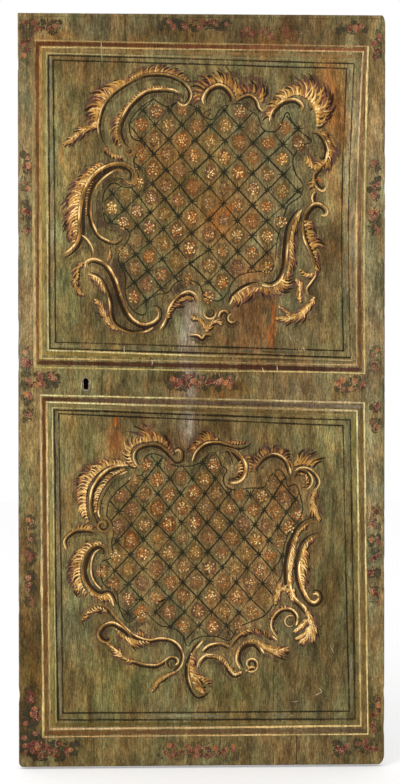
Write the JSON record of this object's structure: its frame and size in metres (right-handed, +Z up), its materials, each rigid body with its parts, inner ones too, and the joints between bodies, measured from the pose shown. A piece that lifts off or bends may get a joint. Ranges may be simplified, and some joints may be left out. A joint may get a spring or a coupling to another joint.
{
  "type": "weathered wooden door",
  "caption": "Old plank door leaf, painted front with faded scrolls and flowers, batten back, iron strap hinges on pintles and a rim lock with a sliding bolt.",
  "frame": {"origin": "middle of the leaf's bottom edge, half way through the boards", "axes": "+X across the leaf to the hinge edge, +Y from the painted face to the battened back, +Z up"},
  "size_m": [0.978, 0.0764, 2],
  "materials": {
    "painted_boards": "olive-green lacquer worn to brown ground, bare aged wood behind",
    "battens": "bare aged wood",
    "pegs": "bare hardwood",
    "hinge_iron": "wrought, rusted",
    "nail_iron": "forged, rusted",
    "liner_metal": "dull and worn",
    "lock_iron": "forged sheet, rusted",
    "bolt_iron": "filed bright once, now brown"
  },
  "bodies": {
    "pintles": {"lower_pintle": "hinge_iron", "upper_pintle": "hinge_iron"},
    "leaf": {"lock_board": "painted_boards", "second_board": "painted_boards", "third_board": "painted_boards", "hinge_board": "painted_boards", "lower_batten": "battens", "middle_batten": "battens", "upper_batten": "battens", "lower_batten_pegs": "pegs", "middle_batten_pegs": "pegs", "upper_batten_pegs": "pegs", "lower_strap": "hinge_iron", "upper_strap": "hinge_iron", "lower_strap_nails": "nail_iron", "upper_strap_nails": "nail_iron", "keyhole_liner": "liner_metal", "lock_case": "lock_iron", "bolt_stump": "bolt_iron", "bolt_spring": "bolt_iron", "spring_rivet": "nail_iron", "lock_nails": "nail_iron"},
    "bolt": {"lock_bolt": "bolt_iron"}
  },
  "joints": [
    {"name": "leaf_swing", "type": "hinge", "parent": "pintles", "child": "leaf", "pos_m": [0.474, 0.0273, 0.35], "axis": [0, 0, -1], "range_deg": [0, 105]},
    {"name": "bolt_throw", "type": "slide", "parent": "leaf", "child": "bolt", "axis": [-1, 0, 0], "range_m": [0, 0.028]}
  ]
}
